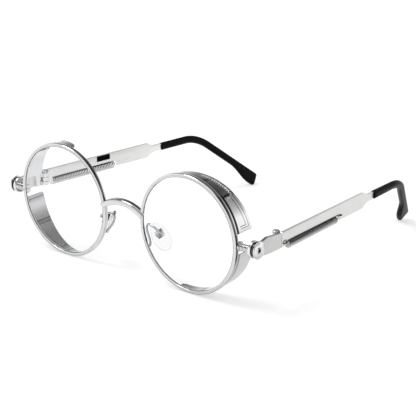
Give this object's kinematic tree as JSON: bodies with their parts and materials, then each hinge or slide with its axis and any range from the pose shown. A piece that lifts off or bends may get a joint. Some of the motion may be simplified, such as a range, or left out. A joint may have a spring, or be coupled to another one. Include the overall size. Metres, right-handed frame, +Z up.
{
  "type": "round sunglasses",
  "caption": "Round clear-lens sunglasses with polished metal rims, cut side shields, ribbed end bars with domed rivets, spring-set temples and black tips.",
  "frame": {"origin": "centre of the bounding box on the surface that the glasses stand on", "axes": "+X is the right of someone who looks at the front, which is the wearer's left; +Y runs from the front back along the temples; +Z is up"},
  "size_m": [0.1402, 0.1516, 0.0506],
  "materials": {
    "polished_silver": "bright polished plating",
    "spring_steel": "dark oiled spring wire",
    "screw_steel": "turned steel",
    "clear_lens": "polished clear",
    "black_acetate": "satin gloss",
    "clear_silicone": "smooth translucent"
  },
  "bodies": {
    "front": {"rim_left": "polished_silver", "rim_right": "polished_silver", "lens_left": "clear_lens", "lens_right": "clear_lens", "bridge": "polished_silver", "upper_shield_left": "polished_silver", "upper_shield_right": "polished_silver", "lower_shield_left": "polished_silver", "lower_shield_right": "polished_silver", "lens_lock_left": "polished_silver", "lens_lock_right": "polished_silver", "lock_screw_left": "screw_steel", "lock_screw_right": "screw_steel", "end_bar_left": "polished_silver", "end_bar_right": "polished_silver", "side_plate_left": "polished_silver", "side_plate_right": "polished_silver", "knob_left": "polished_silver", "knob_right": "polished_silver", "hinge_front_left": "polished_silver", "hinge_front_right": "polished_silver", "hinge_screw_left": "screw_steel", "hinge_screw_right": "screw_steel", "pad_arm_left": "polished_silver", "pad_arm_right": "polished_silver", "pad_box_left": "polished_silver", "pad_box_right": "polished_silver", "pad_screw_left": "screw_steel", "pad_screw_right": "screw_steel"},
    "temple_left_body": {"temple_left": "polished_silver", "tip_left": "black_acetate", "spring_left": "spring_steel", "hinge_rear_left": "polished_silver"},
    "temple_right_body": {"temple_right": "polished_silver", "tip_right": "black_acetate", "spring_right": "spring_steel", "hinge_rear_right": "polished_silver"},
    "pad_left_body": {"nose_pad_left": "clear_silicone"},
    "pad_right_body": {"nose_pad_right": "clear_silicone"}
  },
  "joints": [
    {"name": "temple_right_fold", "type": "hinge", "parent": "front", "child": "temple_right_body", "pos_m": [0.06553, -0.05511, 0.02535], "axis": [0, -0.0262, 0.9997], "range_deg": [0, 84]},
    {"name": "temple_left_fold", "type": "hinge", "parent": "front", "child": "temple_left_body", "pos_m": [-0.06553, -0.05511, 0.02535], "axis": [0, 0.0262, -0.9997], "range_deg": [0, 72]},
    {"name": "pad_right_rock", "type": "hinge", "parent": "front", "child": "pad_right_body", "pos_m": [0.01534, -0.06698, 0.0199], "axis": [0.419, 0.7807, 0.4636], "range_deg": [-8, 5]},
    {"name": "pad_left_rock", "type": "hinge", "parent": "front", "child": "pad_left_body", "pos_m": [-0.01534, -0.06698, 0.0199], "axis": [0.419, -0.7807, -0.4636], "range_deg": [-8, 5]}
  ]
}
